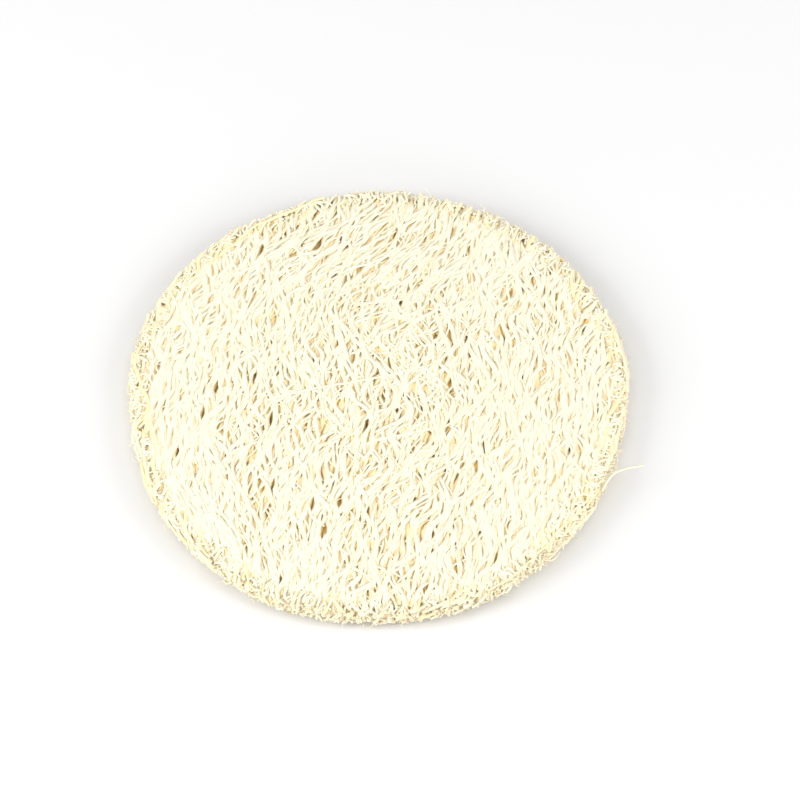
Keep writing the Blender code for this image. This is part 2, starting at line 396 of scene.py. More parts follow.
class Strands:
    """Guide lines of one kind, gathered to be swept together."""

    def __init__(self):
        self.points, self.lies, self.sizes, self.tones, self.depths = [], [], [], [], []

    def add(self, points, lies, sizes, tone, depths):
        self.points.append(points)
        self.lies.append(lies)
        self.sizes.append(sizes)
        self.tones.append(np.full(len(points), tone))
        self.depths.append(depths)

    def mesh(self, name):
        """The guide lines as a mesh of edges that carries what the sweep needs."""
        counts = [len(points) for points in self.points]
        points = np.vstack(self.points)
        joined = np.ones(len(points), bool)
        joined[np.cumsum([0] + counts[:-1])] = False
        later = np.nonzero(joined)[0]
        pairs = np.column_stack([later - 1, later])
        mesh = bpy.data.meshes.new(name)
        mesh.vertices.add(len(points))
        mesh.edges.add(len(later))
        mesh.vertices.foreach_set("co", points.astype(np.float32).ravel())
        mesh.edges.foreach_set("vertices", pairs.ravel().astype(np.int32))
        for label, kind, key, values in (
            ("lie", "FLOAT_VECTOR", "vector", np.vstack(self.lies)),
            ("size", "FLOAT", "value", np.concatenate(self.sizes)),
            ("tone", "FLOAT", "value", np.concatenate(self.tones)),
            ("depth", "FLOAT", "value", np.concatenate(self.depths)),
        ):
            kept = mesh.attributes.new(label, kind, "POINT")
            kept.data.foreach_set(key, values.astype(np.float32).ravel())
        mesh.update()
        return mesh


class Layer:
    """What the strands of one layer have in common. Lengths are in metres."""

    # How they sway: each drift, its share, and whether it grows where the net is more open
    drifts = ()
    weave = None
    # How close and how deep they lie, and how finely they are drawn
    pitch = 0.00045
    step = 0.0007
    depth = 0.0
    unevenness = 0.00020
    level = 0.5
    loose = 0.0
    # Which part of the pad they take up, and how they meet the rim
    keep_from = 0.0
    cuts = CUT_REACH
    least_headlong = 0.0
    # How long they are, and how their ends thin out and dive
    runs = (0.006, 0.024)
    taper = 0.0025
    dive = 0.0004
    end_girth = 0.5
    # How they stray from the grain, and which openings part them
    spread = math.radians(7)
    swing = None
    bow = 0.08
    wobble = 0.00012
    wobble_lengths = (0.004, 0.010)
    openings = None
    opening_share = 1.0
    # Their section, and how they wander when they are swept
    girths = (0.6, 1.4)
    sides = 5
    wander = 0.00018
    wander_length = 0.002

    def __init__(self, side, half_width, half_thickness, **changes):
        self.side = side
        self.half_width = half_width
        self.half_thickness = half_thickness
        self.curls = UPPER_CURLS if side == "upper" else UNDER_CURLS
        for name, value in changes.items():
            setattr(self, name, value)


def lay_line(strands, draw, layer, across, along, sizes, tone, depths):
    """Lays one guide line, given by its unswayed place in the grain, and cuts it at the rim."""
    swayed = across + bent_grain(across, along)
    for drift, share, opens in layer.drifts:
        amount = share * openness(across, along) if opens else share
        swayed = swayed + amount * drift(across, along)
    if layer.openings is not None:
        swayed = parted(swayed, along, layer.openings, layer.opening_share)
    angle = np.arctan2(along, swayed) + GRAIN_TURN
    radius = outline_radius(angle)
    raw = np.hypot(swayed, along) / radius
    cut = draw.uniform(*layer.cuts)
    poke = draw.uniform(*RIM_POKE) / PAD_RADIUS
    curled = draw.uniform(*layer.curls)
    kept = (raw < cut) & (raw > layer.keep_from)
    changes = np.flatnonzero(np.diff(np.concatenate([[0], kept.view(np.int8), [0]])))
    for first, last in zip(changes[::2], changes[1::2]):
        if last - first < FEWEST_POINTS:
            continue
        part = slice(first, last)
        headlong = min(np.abs(np.diff(raw[part])).max() * PAD_RADIUS / layer.step, 1.0)
        if headlong < layer.least_headlong:
            continue
        reach = squeezed(raw[part])
        curl = curled * headlong * eased((reach - CURL_START) / (1 - CURL_START))
        level = {"upper": 1 - curl, "under": curl}.get(layer.side, layer.level)
        inner = 1 - RIM_ROUND / PAD_RADIUS * (1 - np.sin(math.pi * level))
        reach = reach * inner + poke * eased((raw[part] - POKE_START) / (CUT_REACH[1] - POKE_START))
        turn = angle[part]
        x, y = on_pad(turn, radius[part] * reach)
        under, top = under_skin(reach), top_skin(reach)
        depth = np.maximum(depths[part] + layer.weave(swayed[part], along[part]), -layer.loose)
        half = layer.half_thickness * layer.girths[1]
        z = under + (top - under) * level
        if layer.side == "upper":
            z = z - half - depth
        elif layer.side == "under":
            z = z + half + depth
        else:
            z = z + depth
        z = np.clip(z, under + half, top - half + layer.loose)
        most = INSIDE_LEAN if layer.side == "inside" else FACE_LEAN
        lean = most * eased((reach - LEAN_START) / (1 - LEAN_START))
        up = np.full_like(x, -1.0 if layer.side == "under" else 1.0)
        lies = np.column_stack([np.cos(turn) * lean, np.sin(turn) * lean, up])
        lies /= np.linalg.norm(lies, axis=1)[:, None]
        # The depth in mm, which the fibre shader turns into tan and painted shade
        shown = np.maximum(depth, 0) * METRES_TO_MM
        strands.add(np.column_stack([x, y, z]), lies, sizes[part], tone, shown)


def thinned(draw, layer, full):
    """Girth and depth along a strand, which is thinner and deeper where it isn't full."""
    sizes = draw.uniform(*layer.girths) * (layer.end_girth + (1 - layer.end_girth) * full)
    depths = layer.depth + draw.uniform(0, layer.unevenness) + layer.dive * (1 - full)
    return sizes, depths


def lay_mat(strands, draw, layer):
    """Lays strands side by side along the grain, in runs whose thin ends dive under the next."""
    span = STRAND_SPAN * PAD_RADIUS
    count = int(2 * span / layer.pitch)
    for number in range(count):
        row = number + 0.5 + draw.uniform(-ROW_SHAKE, ROW_SHAKE)
        middle = row * 2 * span / count - span
        start = -span - draw.uniform(0, layer.runs[1])
        while start < span:
            length = draw.uniform(*layer.runs)
            along = np.arange(start, start + length + layer.step / 2, layer.step)
            share = (along - start) / length
            lean = draw.normal(0, layer.spread)
            if layer.swing:
                lean += layer.swing(np.array([middle]), np.array([start + length / 2]))[0]
            slope = math.tan(lean)
            shift = draw.uniform(-RUN_SHAKE, RUN_SHAKE) * layer.pitch
            wave = math.tau / draw.uniform(*layer.wobble_lengths)
            wobble = layer.wobble * draw.uniform(*WOBBLE_SHARES)
            across = middle + shift + slope * (along - along.mean())
            across = across + wobble * np.sin(along * wave + draw.uniform(0, math.tau))
            across = across + draw.normal(0, layer.bow) * length * np.sin(math.pi * share)
            full = eased(np.minimum(share, 1 - share) * length / layer.taper)
            ripple_turns = along * wave * RIPPLE_PACE + draw.uniform(0, math.tau)
            sizes, depths = thinned(draw, layer, full)
            sizes *= 1 + GIRTH_RIPPLE * np.sin(ripple_turns)
            lay_line(strands, draw, layer, across, along, sizes, draw.uniform(-1, 1), depths)
            start += length - layer.taper


def lay_stroke(strands, draw, layer, across, along, length, turn):
    """Lays one short bowed strand about a place, turned from the grain."""
    way = np.arange(-length / 2, length / 2 + layer.step / 2, layer.step)
    share = np.abs(2 * way / length)
    bow = draw.normal(0, layer.bow) * length * np.cos(way * math.pi / length)
    across = across + way * math.sin(turn) + bow * math.cos(turn)
    along = along + way * math.cos(turn) - bow * math.sin(turn)
    full = eased((1 - share) * length / 2 / layer.taper)
    sizes, depths = thinned(draw, layer, full)
    lay_line(strands, draw, layer, across, along, sizes, draw.uniform(-1, 1), depths)


def lay_crossings(strands, draw, layer, count, lengths, turns, reach):
    """Lays short strands at a slant over the rest, spread evenly over the face."""
    start = draw.uniform(0, math.tau)
    for number in range(count):
        distance = reach * PAD_RADIUS * math.sqrt((number + 0.5) / count)
        bearing = start + number * GOLDEN_TURN + draw.uniform(-BEARING_SHAKE, BEARING_SHAKE)
        across, along = distance * math.cos(bearing), distance * math.sin(bearing)
        turn = draw.uniform(*turns) * draw.choice((-1, 1))
        lay_stroke(strands, draw, layer, across, along, draw.uniform(*lengths), turn)


def lay_fans(strands, draw, layer, lengths):
    """Lays more slanting strands in the places where they fan out one way."""
    for at_across, at_along, size, turn, count in FANS:
        for _ in range(count):
            across, along = draw.normal((at_across, at_along), size / 2)
            lean = -turn + draw.normal(0, FAN_SPREAD)
            lay_stroke(strands, draw, layer, across, along, draw.uniform(*lengths), lean)


def lay_hoops(strands, draw, layer, count, reach):
    """Lays strands round inside the rim, close over each other, behind the cut ends."""
    turns = np.linspace(0, math.tau, HOOP_POINTS)
    for number in range(count):
        level = np.interp((number + 0.5) / count, (0, 1), HOOP_LEVELS)
        rounding = RIM_ROUND / PAD_RADIUS * (1 - math.sin(math.pi * level))
        sways = np.sin(turns * draw.integers(*HOOP_SWAYS) + draw.uniform(0, math.tau))
        at = (reach - rounding) * (1 + HOOP_SWAY * sways)
        x, y = on_pad(turns, outline_radius(turns) * at)
        under, top = under_skin(at), top_skin(at)
        half = layer.half_width
        z = under + half + (top - under - 2 * half) * level
        rises = np.sin(turns * draw.integers(*HOOP_RISES) + draw.uniform(0, math.tau))
        z = np.maximum(z + HOOP_RISE * rises, under + half)
        lies = np.column_stack([np.cos(turns), np.sin(turns), np.zeros(HOOP_POINTS)])
        sizes, depths = np.ones(HOOP_POINTS), np.full(HOOP_POINTS, layer.depth * METRES_TO_MM)
        strands.add(np.column_stack([x, y, z]), lies, sizes, draw.uniform(-1, 1), depths)


def lay_stubs(strands, draw, layer, count, lengths, tips, levels):
    """Lays short cut strands that point outwards from the rim, all the way round."""
    for number in range(count):
        bearing = (number + draw.uniform(0, 1)) * math.tau / count
        length = draw.uniform(*lengths)
        heading = bearing + np.clip(draw.normal(0, layer.spread), -STUB_TURN, STUB_TURN)
        way = np.linspace(-length, 0, 2 + int(length / layer.step))
        bow = draw.normal(0, layer.bow) * length * np.sin(math.pi * way / length)
        level = draw.uniform(*levels)
        rounding = RIM_ROUND * (1 - math.sin(math.pi * level))
        tip = outline_radius(bearing) - rounding + draw.uniform(*tips)
        x = tip * math.cos(bearing) + way * math.cos(heading) - bow * math.sin(heading)
        y = tip * math.sin(bearing) + way * math.sin(heading) + bow * math.cos(heading)
        turn = np.arctan2(y, x)
        reach = np.hypot(x, y) / outline_radius(turn)
        under, top = under_skin(reach), top_skin(reach)
        rise = draw.normal(0, STUB_RISE) * (way + length) / length
        z = under + (top - under) * level + rise
        half = layer.half_thickness * layer.girths[1]
        z = np.clip(z, under + half, top - half + layer.loose)
        lean = INSIDE_LEAN * draw.uniform(-1, 1)
        lies = np.tile((math.cos(bearing) * lean, math.sin(bearing) * lean, 1.0), (len(way), 1))
        lies /= np.linalg.norm(lies, axis=1)[:, None]
        sizes = draw.uniform(*layer.girths) * np.linspace(1, STUB_TIP_GIRTH, len(way))
        depths = np.full(len(way), layer.depth * METRES_TO_MM)
        points = np.column_stack([x - OUTLINE_MIDDLE[0], y - OUTLINE_MIDDLE[1], z])
        strands.add(points, lies, sizes, draw.uniform(-1, 1), depths)


def lay_curve(strands, corners, sizes, points):
    """Lays one strand along a smooth curve pulled by its corners."""
    share = np.linspace(0, 1, points)
    order = len(corners) - 1
    curve = np.zeros((points, 3))
    for number, corner in enumerate(corners):
        weight = math.comb(order, number) * share**number * (1 - share) ** (order - number)
        curve += weight[:, None] * np.array(corner)
    lies = np.tile((0.0, 0.0, 1.0), (points, 1))
    strands.add(curve, lies, np.interp(share, (0, 1), sizes), 0.0, np.zeros(points))


class TreeMaker:
    """Short words for making nodes and links in one node tree."""

    def __init__(self, tree):
        self.tree = tree
        self.into = self.node("NodeGroupInput").outputs
        self.out = self.node("NodeGroupOutput").inputs

    def node(self, kind, **settings):
        made = self.tree.nodes.new(kind)
        for name, value in settings.items():
            setattr(made, name, value)
        return made

    def feed(self, inputs, sources):
        """Links each input named in sources, or sets its own value."""
        for key, source in sources.items():
            if isinstance(source, bpy.types.NodeSocket):
                self.tree.links.new(source, inputs[key])
            else:
                inputs[key].default_value = source

    def fed(self, kind, sources, output=0, **settings):
        """One output of a new node whose inputs are fed."""
        made = self.node(kind, **settings)
        self.feed(made.inputs, sources)
        return made.outputs[output]

    def attribute(self, label, kind="FLOAT"):
        sources = {"Name": label}
        return self.fed("GeometryNodeInputNamedAttribute", sources, "Attribute", data_type=kind)

    def stored(self, geometry, label, value, kind="FLOAT", domain="POINT"):
        sources = {"Geometry": geometry, "Name": label, "Value": value}
        return self.fed("GeometryNodeStoreNamedAttribute", sources, data_type=kind, domain=domain)

    def vector(self, operation, first, second):
        sources = {0: first, "Scale" if operation == "SCALE" else 1: second}
        return self.fed("ShaderNodeVectorMath", sources, operation=operation)

    def math(self, operation, first, second, clamp=False):
        sources = {0: first, 1: second}
        return self.fed("ShaderNodeMath", sources, operation=operation, use_clamp=clamp)

    def combined(self, x, y, z):
        return self.fed("ShaderNodeCombineXYZ", {"X": x, "Y": y, "Z": z})

    def mixed(self, factor, first, second):
        sources = {"Factor": factor, MIX_FIRST: first, MIX_SECOND: second}
        return self.fed("ShaderNodeMix", sources, MIX_RESULT, data_type="RGBA")


def add_sockets(tree, way, sockets):
    """Gives a node tree its named inputs or outputs."""
    for name, kind in sockets.items():
        tree.interface.new_socket(name=name, in_out=way, socket_type="NodeSocket" + kind)


def sweep_tree():
    """A tree that sweeps guide lines into flattened strands with closed, cut ends."""
    tree = bpy.data.node_groups.get("strand_sweep")
    if tree:
        return tree
    tree = bpy.data.node_groups.new("strand_sweep", "GeometryNodeTree")
    tree.is_modifier = True
    add_sockets(tree, "INPUT", {
        "Geometry": "Geometry", "Half Width": "Float", "Half Thickness": "Float", "Sides": "Int",
        "Wander": "Float", "Wander Length": "Float", "Seed": "Int", "Material": "Material",
    })
    add_sockets(tree, "OUTPUT", {"Geometry": "Geometry"})
    make = TreeMaker(tree)
    into = make.into

    # A fine wander off the guide line
    lines = make.fed("GeometryNodeMeshToCurve", {"Mesh": into["Geometry"]})
    place = make.fed("GeometryNodeInputPosition", {})
    length = make.combined(into["Wander Length"], into["Wander Length"], into["Wander Length"])
    scaled = make.vector("DIVIDE", place, length)
    sources = {"Vector": scaled, "W": into["Seed"], "Scale": 1, "Detail": 1}
    noise = make.fed("ShaderNodeTexNoise", sources, "Color", noise_dimensions="4D")
    centred = make.vector("SUBTRACT", noise, (0.5, 0.5, 0.5))
    stray = make.vector("MULTIPLY", centred, WANDER_SHARES)
    sources = {"Geometry": lines, "Offset": make.vector("SCALE", stray, into["Wander"])}
    moved = make.fed("GeometryNodeSetPosition", sources)
    sources = {"Curve": moved, "Normal": make.attribute("lie", "FLOAT_VECTOR")}
    facing = make.fed("GeometryNodeSetCurveNormal", sources, mode="FREE")
    run = make.fed("GeometryNodeSplineParameter", {}, "Length")
    route = make.stored(facing, "run", run)

    # The section is flattened towards the face that the strand lies in
    sources = {"Radius": 1, "Resolution": into["Sides"]}
    circle = make.fed("GeometryNodeCurvePrimitiveCircle", sources)
    around = make.fed("GeometryNodeInputPosition", {})
    rounded = make.stored(circle, "round", around, "FLOAT_VECTOR")
    flattened = make.combined(into["Half Thickness"], into["Half Width"], 1.0)
    section = make.fed("GeometryNodeTransform", {"Geometry": rounded, "Scale": flattened})
    sources = {"Curve": route, "Profile Curve": section, "Scale": make.attribute("size")}
    swept = make.fed("GeometryNodeCurveToMesh", {**sources, "Fill Caps": True})

    # A cut end has more than four corners, so a strand with four sides has none marked
    corners = make.fed("GeometryNodeInputMeshFaceNeighbors", {}, "Vertex Count")
    sources = {COMPARE_FIRST: corners, COMPARE_SECOND: SIDE_CORNERS}
    is_end = make.fed("FunctionNodeCompare", sources, data_type="INT", operation="GREATER_THAN")
    ended = make.stored(swept, "cut_end", is_end, domain="FACE")
    is_side = make.fed("FunctionNodeBooleanMath", {0: is_end}, operation="NOT")
    sources = {"Geometry": ended, "Shade Smooth": is_side}
    smooth = make.fed("GeometryNodeSetShadeSmooth", sources, domain="FACE")
    real = make.fed("GeometryNodeRealizeInstances", {"Geometry": smooth})
    sources = {"Geometry": real, "Material": into["Material"]}
    make.feed(make.out, {"Geometry": make.fed("GeometryNodeSetMaterial", sources)})
    return tree


def linked(name, data):
    """A new object in the scene."""
    made = bpy.data.objects.new(name, data)
    bpy.context.scene.collection.objects.link(made)
    return made


def sweep(name, strands, layer, material, group, piece_number=0):
    """Sweeps guide lines into one plain mesh piece that stands for the pad."""
    guide = linked(name + "_guide", strands.mesh(name + "_guide"))
    tree = sweep_tree()
    modifier = guide.modifiers.new("sweep", "NODES")
    modifier.node_group = tree
    values = {
        "Half Width": layer.half_width,
        "Half Thickness": layer.half_thickness,
        "Sides": layer.sides,
        "Wander": layer.wander,
        "Wander Length": layer.wander_length,
        "Seed": group * SEEDS_A_GROUP + piece_number,
        "Material": material,
    }
    for item in tree.interface.items_tree:
        if item.in_out == "INPUT" and item.name in values:
            modifier[item.identifier] = values[item.name]
    graph = bpy.context.evaluated_depsgraph_get()
    mesh = bpy.data.meshes.new_from_object(guide.evaluated_get(graph), depsgraph=graph)
    spent = guide.data
    bpy.data.objects.remove(guide)
    bpy.data.meshes.remove(spent)
    mesh.name = name
    piece = linked(name, mesh)
    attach(piece, BODY)
    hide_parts(NODE)
    if not mesh.polygons:
        raise RuntimeError(f"{name} came out with no faces")


def fibre_group():
    """Colour and fine relief of dry plant fibre, from each strand's own tone, with a tan by depth
    that is partly the fibre's own and partly painted shade in the gaps, and painted shade on each
    strand's lower side.
    """
    group = bpy.data.node_groups.get("loofah_fibre_look")
    if group:
        return group
    group = bpy.data.node_groups.new("loofah_fibre_look", "ShaderNodeTree")
    add_sockets(group, "INPUT", {
        "Pale": "Color", "Warm": "Color", "Deep": "Color",
        "Tan And Shade Start": "Float", "Tan And Shade End": "Float", "Cut End": "Float", "Flank Shade": "Float",
    })
    add_sockets(group, "OUTPUT", {"Color": "Color", "Height": "Float", "Roughness": "Float"})
    make = TreeMaker(group)
    into = make.into

    def own(label, output="Fac"):
        return make.fed("ShaderNodeAttribute", {}, output, attribute_name=label)

    # Streaks run along each strand, and every strand has its own
    parts = make.node("ShaderNodeSeparateXYZ")
    make.feed(parts.inputs, {0: own("round", "Vector")})
    side = make.math("MULTIPLY", parts.outputs[0], STREAKS_AROUND)
    flat = make.math("MULTIPLY", parts.outputs[1], STREAKS_AROUND)
    onward = make.math("MULTIPLY", own("run"), STREAKS_PER_METRE)
    shift = make.math("MULTIPLY", own("tone"), STREAK_SHIFT)
    place = make.combined(side, flat, onward)
    sources = {"Vector": place, "W": shift, "Scale": 1, "Detail": STREAK_DETAIL}
    streaks = make.fed("ShaderNodeTexNoise", sources, "Fac", noise_dimensions="4D")

    # Broad patches of a warmer cream lie over the whole pad
    place = make.fed("ShaderNodeTexCoord", {}, "Object")
    sources = {"Vector": place, "Scale": PATCHES_PER_METRE, "Detail": PATCH_DETAIL}
    patches = make.fed("ShaderNodeTexNoise", sources, "Fac")
    from_tone = make.math("MULTIPLY", own("tone"), WARMTH_OF_TONE)
    from_streaks = make.math("MULTIPLY", streaks, WARMTH_OF_STREAKS)
    from_patches = make.math("MULTIPLY", patches, WARMTH_OF_PATCHES)
    warmth = make.math("ADD", from_tone, from_streaks)
    warmth = make.math("ADD", warmth, from_patches)
    warmth = make.math("SUBTRACT", warmth, WARMTH_START, clamp=True)
    colour = make.mixed(warmth, into["Pale"], into["Warm"])

    # A strand is tanner the deeper it lies, partly its own tan and partly painted shade in the
    # gaps; its lower side gets painted shade, and its cut ends are tan
    span = make.math("SUBTRACT", into["Tan And Shade End"], into["Tan And Shade Start"])
    sunk = make.math("SUBTRACT", own("depth"), into["Tan And Shade Start"])
    colour = make.mixed(make.math("DIVIDE", sunk, span, clamp=True), colour, into["Deep"])
    # Painted shade on the lower side of each strand, below a share of its round
    shaded_underside = make.math("SUBTRACT", UNDERSIDE_SHADE_START, parts.outputs[0], clamp=True)
    colour = make.mixed(make.math("MULTIPLY", shaded_underside, into["Flank Shade"]), colour, into["Deep"])
    cut = make.math("MULTIPLY", own("cut_end"), into["Cut End"])
    colour = make.mixed(cut, colour, into["Deep"])
    rough = make.math("ADD", make.math("MULTIPLY", streaks, ROUGHER_BY), SMOOTHEST)
    make.feed(make.out, {"Color": colour, "Height": streaks, "Roughness": rough})
    return group


def fibre_material(name, tan_and_shade_start, tan_and_shade_end, cut_end, flank_shade):
    """Dry plant fibre, matt with a faint gloss, that turns tan between two depths in mm, partly its
    own tan and partly painted shade, with painted shade on each strand's lower side.
    """
    material = bpy.data.materials.get(name)
    if material:
        return material
    finish = bpy.context.scene.loofah_finish
    material = bpy.data.materials.new(name)
    material.use_nodes = True
    nodes, links = material.node_tree.nodes, material.node_tree.links
    shader = nodes["Principled BSDF"]
    fibre = nodes.new("ShaderNodeGroup")
    fibre.node_tree = fibre_group()
    values = {
        "Pale": (*finish.pale, 1), "Warm": (*finish.warm, 1), "Deep": (*finish.deep, 1),
        "Tan And Shade Start": tan_and_shade_start, "Tan And Shade End": tan_and_shade_end, "Cut End": cut_end, "Flank Shade": flank_shade,
    }
    for label, value in values.items():
        fibre.inputs[label].default_value = value
    bump = nodes.new("ShaderNodeBump")
    bump.inputs["Strength"].default_value = STREAK_BUMP
    bump.inputs["Distance"].default_value = STREAK_HEIGHT
    links.new(fibre.outputs["Color"], shader.inputs["Base Color"])
    links.new(fibre.outputs["Roughness"], shader.inputs["Roughness"])
    links.new(fibre.outputs["Height"], bump.inputs["Height"])
    links.new(bump.outputs["Normal"], shader.inputs["Normal"])
    shader.inputs["Specular IOR Level"].default_value = FIBRE_GLOSS
    return material


def face_material():
    """The fibre of the two faces and of what is seen through them."""
    return fibre_material("face_fibre", tan_and_shade_start=0.12, tan_and_shade_end=0.65, cut_end=0.25, flank_shade=0.85)


def rim_material():
    """The fibre of the rim, which gets less tan and painted shade with depth, and less painted
    shade on its lower side, than the faces do.
    """
    return fibre_material("rim_fibre", tan_and_shade_start=0.2, tan_and_shade_end=1.4, cut_end=0.15, flank_shade=0.28)


class Sways:
    """The drifts that the layers share, so that gaps go through more than one layer."""

    def __init__(self, seed, group):
        draw = np.random.default_rng([seed, group])
        self.gaps = Drift(draw, *GAP_SWAY)
        self.bends = Drift(draw, *BEND_SWAY)
        self.own = Drift(draw, *OWN_SWAY)
        self.weave = Drift(draw, *WEAVE_SWAY)
        self.swings = [Drift(draw, *SWING_LENGTHS, size) for size in SWINGS]


def drawn(group):
    """The sways of one group of pieces, and the random draws that lay its strands."""
    seed = bpy.context.scene.loofah_strands.seed
    return Sways(seed, group), np.random.default_rng([seed, group, LAYING])


class LoofahStrands(bpy.types.PropertyGroup):
    half_width: FloatProperty(
        name="Half width", description="Half the width of a strand on the face",
        default=0.00027, min=0.0001, unit="LENGTH",
    )
    half_thickness: FloatProperty(
        name="Half thickness", description="Half the thickness of a pressed strand",
        default=0.00012, min=0.00005, unit="LENGTH",
    )
    pitch: FloatProperty(
        name="Pitch", description="Distance from strand to strand across the grain",
        default=0.00047, min=0.0002, unit="LENGTH",
    )
    seed: IntProperty(name="Seed", description="Fixes every random draw", default=11, min=0)


class LoofahFinish(bpy.types.PropertyGroup):
    pale: FloatVectorProperty(
        name="Pale", description="Colour of most strands", subtype="COLOR",
        size=3, min=0, max=1, default=(0.92, 0.868, 0.70),
    )
    warm: FloatVectorProperty(
        name="Warm", description="Colour of the warmer strands and streaks", subtype="COLOR",
        size=3, min=0, max=1, default=(0.93, 0.84, 0.62),
    )
    # Deep is partly the tan of deep strands and cut ends, and partly the colour of painted shade in
    # the gaps and on the lower side of strands
    deep: FloatVectorProperty(
        name="Deep", description="Colour of the strands deep in the gaps", subtype="COLOR",
        size=3, min=0, max=1, default=(0.95, 0.73, 0.32),
    )


class LoofahStage(bpy.types.PropertyGroup):
    table: FloatVectorProperty(
        name="Table", description="Colour of the table", subtype="COLOR",
        size=3, min=0, max=1, default=(0.80, 0.80, 0.80),
    )
    side_power: FloatProperty(
        name="Side power", description="Power of the softbox on each side",
        default=2.0, min=0, unit="POWER",
    )
    front_power: FloatProperty(
        name="Front power", description="Power of the low softbox in front",
        default=1.0, min=0, unit="POWER",
    )
    overhead_power: FloatProperty(
        name="Overhead power", description="Power of the softbox overhead",
        default=2.2, min=0, unit="POWER",
    )
    surround: FloatProperty(
        name="Surround", description="Brightness of the white studio round the table",
        default=0.42, min=0,
    )
    elevation: FloatProperty(
        name="Elevation", description="Angle of the camera over the table",
        default=math.radians(60), unit="ROTATION",
    )
    distance: FloatProperty(
        name="Distance", description="Distance from the camera to the pad",
        default=0.665, min=0.1, unit="LENGTH",
    )


def make_face(side, group, steps, sides, pitch_share):
    """Two layers of fine strands that share most of their gaps."""
    strand = bpy.context.scene.loofah_strands
    sways, draw = drawn(group)
    openings = scattered_openings(draw)
    if side == "upper":
        openings += known_openings()
    outer = Layer(
        side, strand.half_width, strand.half_thickness,
        drifts=((sways.gaps, 1.0, True), (sways.bends, 1.0, False)), weave=sways.weave,
        pitch=strand.pitch * pitch_share, step=steps[0], unevenness=0.00010,
        runs=(0.0020, 0.0062), taper=0.0010, dive=0.00019, end_girth=0.6,
        spread=math.radians(9), swing=sways.swings[0], wobble=0.00009,
        wobble_lengths=(0.0028, 0.0060), openings=openings, sides=sides,
    )
    lines = Strands()
    lay_mat(lines, draw, outer)
    sweep(side + "_strands", lines, outer, face_material(), group, piece_number=1)
    inner = Layer(
        side, strand.half_width, strand.half_thickness,
        drifts=((sways.gaps, 0.8, True), (sways.bends, 1.0, False), (sways.own, 0.4, False)),
        weave=sways.weave, pitch=strand.pitch * pitch_share * SECOND_PITCH, step=steps[1],
        depth=0.00013, unevenness=0.00010, runs=(0.0035, 0.011), taper=0.0012, dive=0.00018,
        end_girth=0.6, spread=math.radians(10), swing=sways.swings[1], wobble=0.00006,
        openings=openings, opening_share=0.9, sides=sides,
    )
    lines = Strands()
    lay_mat(lines, draw, inner)
    sweep(side + "_second_strands", lines, inner, face_material(), group, piece_number=2)


class LOOFAH_OT_upper_face(bpy.types.Operator):
    """Lay the two fine layers of strands on the upper face"""

    bl_idname = "loofah.upper_face"
    bl_label = "Upper face"

    def execute(self, context):
        make_face("upper", UPPER_FACE, steps=(0.0007, 0.0009), sides=5, pitch_share=1.0)
        return {"FINISHED"}


class LOOFAH_OT_under_face(bpy.types.Operator):
    """Lay the two fine layers of strands on the underside"""

    bl_idname = "loofah.under_face"
    bl_label = "Underside"

    def execute(self, context):
        make_face("under", UNDER_FACE, steps=(0.0010, 0.0013), sides=4, pitch_share=1.15)
        return {"FINISHED"}


def make_inner_mat(side, group):
    """Three close layers of thicker strands, which the openings part on the upper side."""
    sways, draw = drawn(group)
    lines = Strands()
    for depth, pitch, girths, cuts, opening_share in MAT_LAYERS:
        parts = side == "upper" and opening_share > 0
        layer = Layer(
            side, half_width=0.00040, half_thickness=0.00015,
            drifts=((sways.own, 0.15, False), (sways.bends, 1.0, False)), weave=sways.weave,
            pitch=pitch, step=0.0012 if parts else 0.0022, depth=depth, unevenness=0.00014,
            cuts=cuts, curls=MAT_CURLS, runs=(0.006, 0.016), taper=0.0010, dive=0.0001,
            end_girth=0.9, spread=math.radians(4), bow=0.01,
            openings=known_openings() if parts else None, opening_share=opening_share,
            girths=girths, sides=4,
        )
        lay_mat(lines, draw, layer)
    sweep(side + "_inner_mat", lines, layer, face_material(), group)


class LOOFAH_OT_inner_mat(bpy.types.Operator):
    """Lay the close layers of thicker strands inside the pad"""

    bl_idname = "loofah.inner_mat"
    bl_label = "Inner mat"

    def execute(self, context):
        make_inner_mat("upper", UPPER_MAT)
        make_inner_mat("under", UNDER_MAT)
        return {"FINISHED"}


class LOOFAH_OT_rim(bpy.types.Operator):
    """Fill the rim with the cut strands of the layers between the faces"""

    bl_idname = "loofah.rim"
    bl_label = "Rim"

    def execute(self, context):
        sways, draw = drawn(RIM)
        lines = Strands()
        for level in RIM_LEVELS:
            layer = Layer(
                "inside", half_width=0.00025, half_thickness=0.00020,
                drifts=((sways.own, 0.8, False), (sways.bends, 1.0, False)), weave=sways.weave,
                pitch=0.00060, step=0.0010, unevenness=0.0008, level=level, keep_from=0.92,
                least_headlong=0.45, runs=(0.008, 0.030), taper=0.001, dive=0.0, end_girth=0.8,
                spread=math.radians(16), bow=0.04, girths=(0.7, 1.4),
            )
            lay_mat(lines, draw, layer)
        sweep("rim_strands", lines, layer, rim_material(), RIM)

        lines = Strands()
        layer = Layer("inside", half_width=0.00034, half_thickness=0.00014, depth=0.0006)
        lay_hoops(lines, draw, layer, count=9, reach=0.977)
        sweep("rim_hoops", lines, layer, rim_material(), RIM, piece_number=1)

        _, draw = drawn(STUBS)
        lines = Strands()
        layer = Layer(
            "inside", half_width=0.00023, half_thickness=0.00017, step=0.0008, depth=0.0001,
            spread=math.radians(32), bow=0.15,
        )
        lay_stubs(
            lines, draw, layer, count=3400, lengths=(0.0008, 0.0022), tips=(-0.0003, 0.0002),
            levels=(0.04, 1.0),
        )
        sweep("rim_stubs", lines, layer, rim_material(), STUBS)
        return {"FINISHED"}


